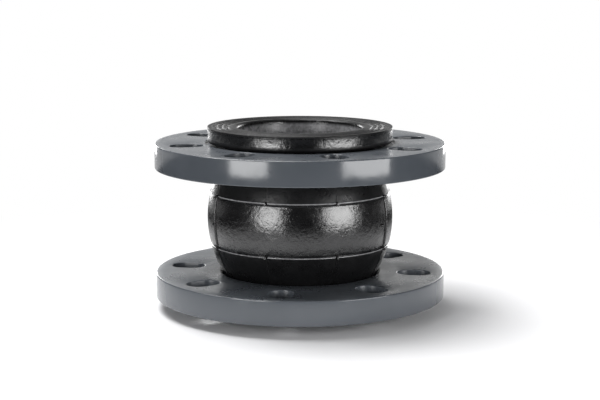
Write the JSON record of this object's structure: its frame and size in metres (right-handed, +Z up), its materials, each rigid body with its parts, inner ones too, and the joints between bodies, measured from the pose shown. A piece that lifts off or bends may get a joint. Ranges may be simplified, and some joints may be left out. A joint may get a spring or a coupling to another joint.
{
  "type": "rubber expansion joint",
  "caption": "Single-sphere rubber pipe expansion joint: a moulded, cord-reinforced bellows with a wire hoop in each bead and two loose slotted backing flanges that swivel.",
  "frame": {"origin": "centre of the lower seal face, on the surface that the joint stands on", "axes": "+Z up the pipe axis from the lower to the upper seal face; the body bends in the X-Z plane"},
  "size_m": [0.229, 0.229, 0.144],
  "materials": {
    "flange_pvc": "satin injection-moulded grey PVC-U",
    "cover_rubber": "moulded, semi-gloss, slightly mottled",
    "liner_rubber": "moulded, satin",
    "filler_rubber": "hard, matte, bonded in",
    "nylon_cord": "rubber-dipped tyre cord",
    "steel_wire": "brassed bead wire"
  },
  "bodies": {
    "lower_end": {"lower_seal_ring": "liner_rubber", "lower_ply_1_turnup": "nylon_cord", "lower_ply_2_turnup": "nylon_cord", "lower_bead_cover": "cover_rubber", "lower_bead_hoop": "steel_wire", "lower_bead_filler": "filler_rubber"},
    "lower_flange": {"lower_flange": "flange_pvc"},
    "lower_shoulder": {"liner_lower_cone": "liner_rubber", "ply_1_lower_cone": "nylon_cord", "ply_2_lower_cone": "nylon_cord", "cover_lower_cone": "cover_rubber"},
    "upper_shoulder": {"liner_band": "liner_rubber", "ply_1_band": "nylon_cord", "ply_2_band": "nylon_cord", "cover_band": "cover_rubber", "liner_upper_cone": "liner_rubber", "ply_1_upper_cone": "nylon_cord", "ply_2_upper_cone": "nylon_cord", "cover_upper_cone": "cover_rubber"},
    "upper_end": {"upper_seal_ring": "liner_rubber", "upper_ply_1_turnup": "nylon_cord", "upper_ply_2_turnup": "nylon_cord", "upper_bead_cover": "cover_rubber", "upper_bead_hoop": "steel_wire", "upper_bead_filler": "filler_rubber"},
    "upper_flange": {"upper_flange": "flange_pvc"}
  },
  "joints": [
    {"name": "lower_flange_spin", "type": "hinge", "parent": "lower_end", "child": "lower_flange", "pos_m": [0, 0, 0.0193], "axis": [0, 0, 1], "continuous": true},
    {"name": "lower_tilt", "type": "hinge", "parent": "lower_end", "child": "lower_shoulder", "pos_m": [0, 0, 0.0193], "axis": [0, 1, 0], "range_deg": [-7.5, 7.5], "stiffness_Nm_per_rad": 500, "deforming": ["liner_lower_cone", "ply_1_lower_cone", "ply_2_lower_cone", "cover_lower_cone"]},
    {"name": "axial_travel", "type": "slide", "parent": "lower_shoulder", "child": "upper_shoulder", "axis": [0, 0, 1], "range_m": [-0.018, 0.01], "stiffness_N_per_m": 60000, "deforming": ["liner_band", "ply_1_band", "ply_2_band", "cover_band"]},
    {"name": "upper_tilt", "type": "hinge", "parent": "upper_shoulder", "child": "upper_end", "pos_m": [0, 0, 0.1247], "axis": [0, 1, 0], "range_deg": [-7.5, 7.5], "stiffness_Nm_per_rad": 500, "deforming": ["liner_upper_cone", "ply_1_upper_cone", "ply_2_upper_cone", "cover_upper_cone"]},
    {"name": "upper_flange_spin", "type": "hinge", "parent": "upper_end", "child": "upper_flange", "pos_m": [0, 0, 0.12172], "axis": [0, 0, 1], "continuous": true}
  ]
}
